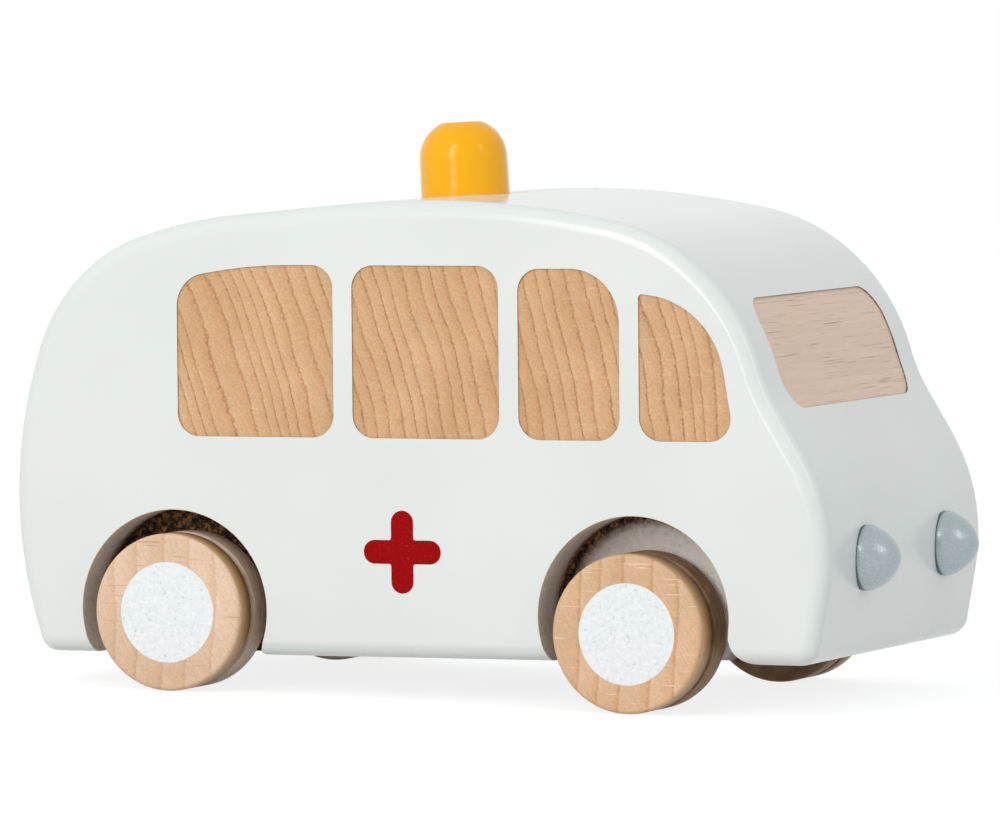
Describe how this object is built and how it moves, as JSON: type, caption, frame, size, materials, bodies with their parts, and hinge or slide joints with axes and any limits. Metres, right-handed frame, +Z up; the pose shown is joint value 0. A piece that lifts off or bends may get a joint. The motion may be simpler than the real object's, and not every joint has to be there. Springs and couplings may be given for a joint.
{
  "type": "toy ambulance",
  "caption": "Wooden toy ambulance: a rounded white-lacquered block with bare-wood windows, a domed roof beacon, headlights and wheels that turn with their axles.",
  "frame": {"origin": "on the ground under the middle of the toy, with all wheels standing on Z = 0", "axes": "+X forward, +Y to the toy's left side, +Z up"},
  "size_m": [0.1728, 0.095, 0.1087],
  "materials": {
    "white_lacquer": "satin white lacquer on beech",
    "yellow_lacquer": "gloss yellow lacquer on turned beech",
    "silver_paint": "silver flake paint on turned beech",
    "bare_beech": "bare sanded beech"
  },
  "bodies": {
    "block": {"body": "white_lacquer", "beacon": "yellow_lacquer", "headlight_left": "silver_paint", "headlight_right": "silver_paint"},
    "front_wheelset": {"front_axle": "bare_beech", "front_left_wheel": "bare_beech", "front_right_wheel": "bare_beech"},
    "rear_wheelset": {"rear_axle": "bare_beech", "rear_left_wheel": "bare_beech", "rear_right_wheel": "bare_beech"}
  },
  "joints": [
    {"name": "front_wheels_roll", "type": "hinge", "parent": "block", "child": "front_wheelset", "pos_m": [0.04139, 0, 0.015], "axis": [0, 1, 0], "continuous": true},
    {"name": "rear_wheels_roll", "type": "hinge", "parent": "block", "child": "rear_wheelset", "pos_m": [-0.05244, 0, 0.015], "axis": [0, 1, 0], "continuous": true}
  ]
}
